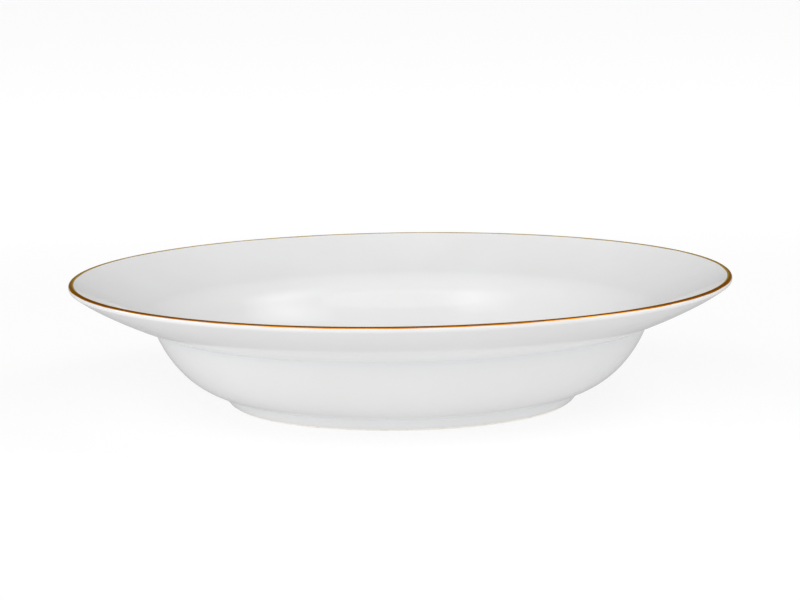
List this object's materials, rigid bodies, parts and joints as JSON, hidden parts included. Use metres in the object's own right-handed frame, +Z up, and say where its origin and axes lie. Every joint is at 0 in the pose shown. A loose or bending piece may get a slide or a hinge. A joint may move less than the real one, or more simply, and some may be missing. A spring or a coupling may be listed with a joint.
{
  "type": "serving bowl",
  "caption": "Round white porcelain serving bowl with a deep well, a broad sloping flange, a foot ring and a thin gold line over the lip.",
  "frame": {"origin": "centre of the plane that the foot ring stands on", "axes": "+Z up, along the bowl's axis of revolution; X and Y are any two directions square to it, because the bowl is round"},
  "size_m": [0.3, 0.3, 0.0573],
  "materials": {
    "bisque": "matte, unglazed, fine-grained",
    "glaze": "clear high-gloss glaze over white porcelain",
    "gold": "burnished liquid gold"
  },
  "bodies": {
    "root": {"porcelain_body": "bisque", "glaze_coat": "glaze", "base_glaze": "glaze", "gold_rim_band": "gold"}
  },
  "joints": []
}
